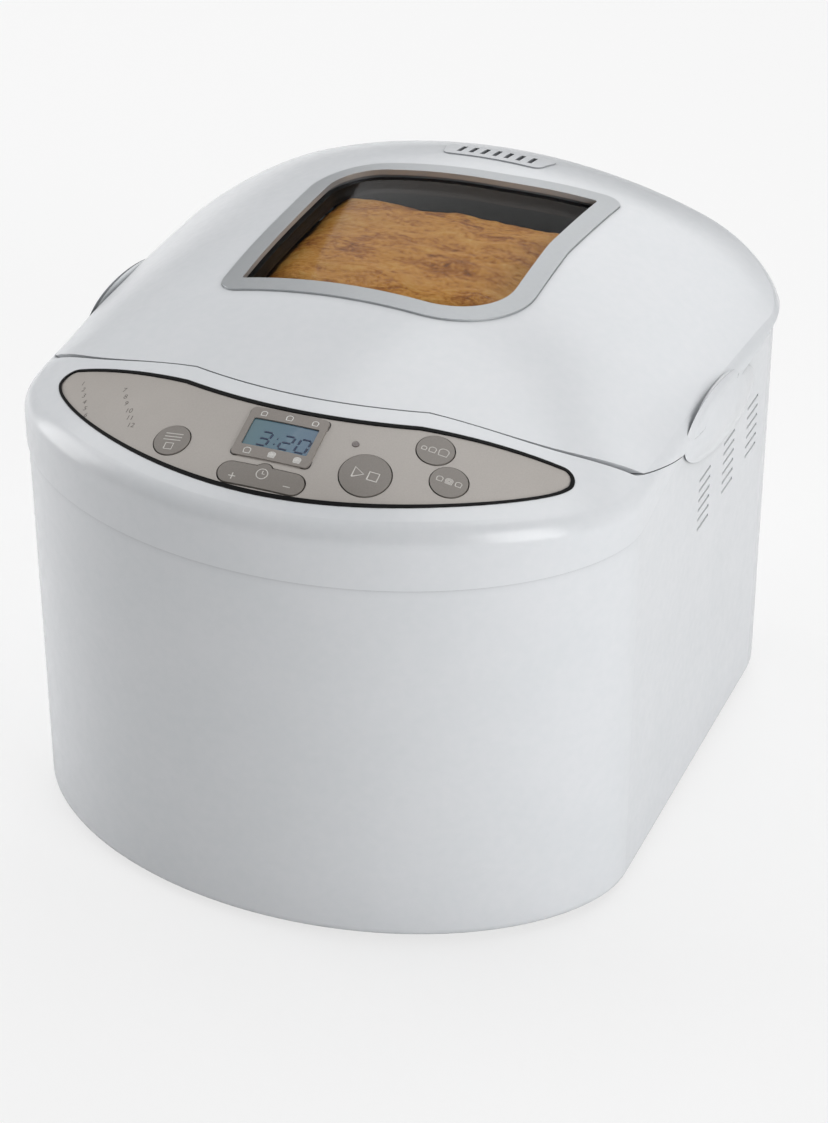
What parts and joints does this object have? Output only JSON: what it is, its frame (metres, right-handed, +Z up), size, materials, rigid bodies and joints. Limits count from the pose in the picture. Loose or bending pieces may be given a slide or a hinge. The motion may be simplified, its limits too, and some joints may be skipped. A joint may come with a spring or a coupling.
{
  "type": "bread machine",
  "caption": "Compact bread maker with a hinged domed lid and window, a lens-shaped control panel, a lift-out pan with a bail handle, and a belt-driven kneading paddle.",
  "frame": {"origin": "floor point under the middle of the bounding box", "axes": "+X to the right seen from the front, the front with the control panel faces -Y, +Z up"},
  "size_m": [0.2702, 0.2924, 0.2285],
  "materials": {
    "white_gloss": "glossy moulded",
    "panel_grey": "fine satin",
    "key_grey": "satin",
    "black_trim": "satin",
    "bezel_grey": "satin",
    "lcd_glass": "glossy",
    "led_lens": "glossy",
    "satin_silver": "satin metallic paint",
    "window_glass": "clear",
    "silicone": "matte",
    "reflector_steel": "dark coated sheet",
    "zinc_steel": "zinc plated",
    "spring_steel": "polished",
    "fastener_steel": "plain",
    "shaft_steel": "ground",
    "element_sheath": "oxidised steel",
    "ceramic": "unglazed ceramic",
    "bronze": "sintered",
    "black_plastic": "moulded",
    "rubber_foot": "matte",
    "belt_rubber": "matte",
    "motor_paint": "painted",
    "clutch_metal": "die cast",
    "board_green": "solder mask",
    "component_black": "moulded",
    "nonstick": "non-stick coated",
    "handle_wire": "drawn wire"
  },
  "bodies": {
    "machine": {"base_plate": "black_plastic", "base_screws": "fastener_steel", "board_bracket": "zinc_steel", "body_shell": "white_gloss", "chassis_screws": "fastener_steel", "control_board": "board_green", "control_panel": "panel_grey", "cord_gland": "black_plastic", "display_module": "component_black", "drive_bearing": "bronze", "drive_belt": "belt_rubber", "drive_chassis": "zinc_steel", "element_clips": "zinc_steel", "element_terminals": "ceramic", "feet": "rubber_foot", "heating_element": "element_sheath", "hinge_pins": "fastener_steel", "key_switches": "component_black", "lcd_bezel": "bezel_grey", "lcd_glass": "lcd_glass", "led_lens": "led_lens", "motor_housing": "motor_paint", "motor_screws": "fastener_steel", "oven_chamber": "reflector_steel", "pan_seat": "zinc_steel", "panel_trim": "black_trim", "power_board": "board_green", "power_parts": "component_black", "rocker_fulcrum": "black_plastic", "seat_clips": "spring_steel", "temperature_sensor": "element_sheath", "thermal_fuse": "zinc_steel", "upper_housing": "white_gloss"},
    "lid": {"lid_cover": "white_gloss", "window_frame": "satin_silver", "window_glass": "window_glass", "window_seal": "silicone", "lid_liner": "reflector_steel"},
    "pan": {"bread_pan": "nonstick", "pan_collar": "clutch_metal", "pan_bush": "bronze"},
    "handle": {"pan_handle": "handle_wire"},
    "paddle": {"pan_coupling": "clutch_metal", "pan_shaft": "shaft_steel", "kneading_paddle": "nonstick"},
    "drive": {"drive_shaft": "shaft_steel", "drive_pulley": "black_plastic", "drive_dog": "clutch_metal"},
    "motor": {"motor_shaft": "shaft_steel", "motor_pulley": "black_plastic"},
    "start_button": {"start_key": "key_grey"},
    "menu_button": {"menu_key": "key_grey"},
    "size_button": {"size_key": "key_grey"},
    "crust_button": {"crust_key": "key_grey"},
    "timer_button": {"timer_rocker": "key_grey"}
  },
  "joints": [
    {"name": "lid_hinge", "type": "hinge", "parent": "machine", "child": "lid", "pos_m": [0, 0.139, 0.188], "axis": [-1, 0, 0], "range_deg": [0, 95]},
    {"name": "pan_lift", "type": "slide", "parent": "machine", "child": "pan", "axis": [0, 0, 1], "range_m": [0, 0.135]},
    {"name": "handle_swing", "type": "hinge", "parent": "pan", "child": "handle", "pos_m": [0, 0.037, 0.15], "axis": [-1, 0, 0], "range_deg": [0, 85]},
    {"name": "drive_spin", "type": "hinge", "parent": "machine", "child": "drive", "pos_m": [0, 0.037, 0.03], "axis": [0, 0, 1], "continuous": true},
    {"name": "motor_spin", "type": "hinge", "parent": "machine", "child": "motor", "pos_m": [-0.035, -0.092, 0.03], "axis": [0, 0, 1], "continuous": true},
    {"name": "paddle_spin", "type": "hinge", "parent": "pan", "child": "paddle", "pos_m": [0, 0.037, 0.07], "axis": [0, 0, 1], "continuous": true},
    {"name": "start_press", "type": "slide", "parent": "machine", "child": "start_button", "axis": [0, 0.3074, -0.9516], "range_m": [0, 0.0008], "stiffness_N_per_m": 500, "springref_m": -0.0008},
    {"name": "menu_press", "type": "slide", "parent": "machine", "child": "menu_button", "axis": [0, 0.3074, -0.9516], "range_m": [0, 0.0008], "stiffness_N_per_m": 500, "springref_m": -0.0008},
    {"name": "size_press", "type": "slide", "parent": "machine", "child": "size_button", "axis": [0, 0.3074, -0.9516], "range_m": [0, 0.0008], "stiffness_N_per_m": 500, "springref_m": -0.0008},
    {"name": "crust_press", "type": "slide", "parent": "machine", "child": "crust_button", "axis": [0, 0.3074, -0.9516], "range_m": [0, 0.0008], "stiffness_N_per_m": 500, "springref_m": -0.0008},
    {"name": "timer_rock", "type": "hinge", "parent": "machine", "child": "timer_button", "pos_m": [0, -0.12787, 0.19584], "axis": [0, 0.9516, 0.3074], "range_deg": [-2.5, 2.5], "stiffness_Nm_per_rad": 0.1}
  ],
  "couplings": [
    {"joint": "pan_lift", "follows": "lid_hinge", "m_per_rad": 0.08},
    {"joint": "handle_swing", "follows": "lid_hinge", "ratio": 0.85},
    {"joint": "paddle_spin", "follows": "drive_spin", "ratio": 1},
    {"joint": "motor_spin", "follows": "drive_spin", "ratio": 4.0909}
  ]
}
